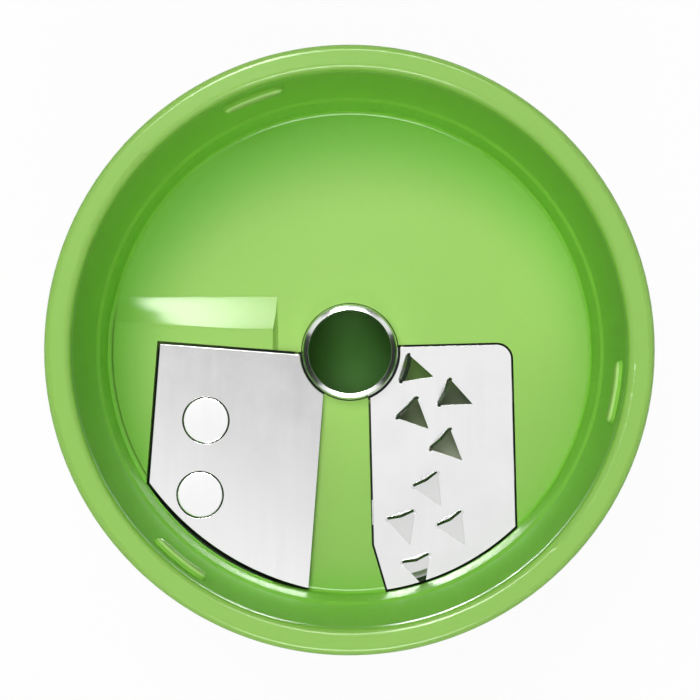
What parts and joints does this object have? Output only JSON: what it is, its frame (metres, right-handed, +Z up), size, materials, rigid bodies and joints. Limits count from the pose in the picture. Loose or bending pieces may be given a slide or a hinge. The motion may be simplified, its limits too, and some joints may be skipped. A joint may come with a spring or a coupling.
{
  "type": "spiralizer blade cup",
  "caption": "Round moulded blade cup of a hand spiralizer: deep drafted bowl with a ring lip, riveted slicing blade, toothed noodle plate and central coring ring.",
  "frame": {"origin": "middle of the plane that the foot stands on, on the cup's axis", "axes": "+Z up the cup's axis towards the rim, +Y from the tooth plate's side towards the blank half of the floor, +X from the slicing blade towards the tooth plate"},
  "size_m": [0.078, 0.078, 0.0434],
  "materials": {
    "green_plastic": "glossy moulded",
    "ring_steel": "polished and ground",
    "blade_steel": "satin",
    "rivet_steel": "polished",
    "washer_steel": "plain",
    "plate_steel": "bright stamped"
  },
  "bodies": {
    "root": {"cup": "green_plastic", "coring_ring": "ring_steel", "slicing_blade": "blade_steel", "blade_rivets": "rivet_steel", "rivet_washers": "washer_steel", "tooth_plate": "plate_steel"}
  },
  "joints": []
}
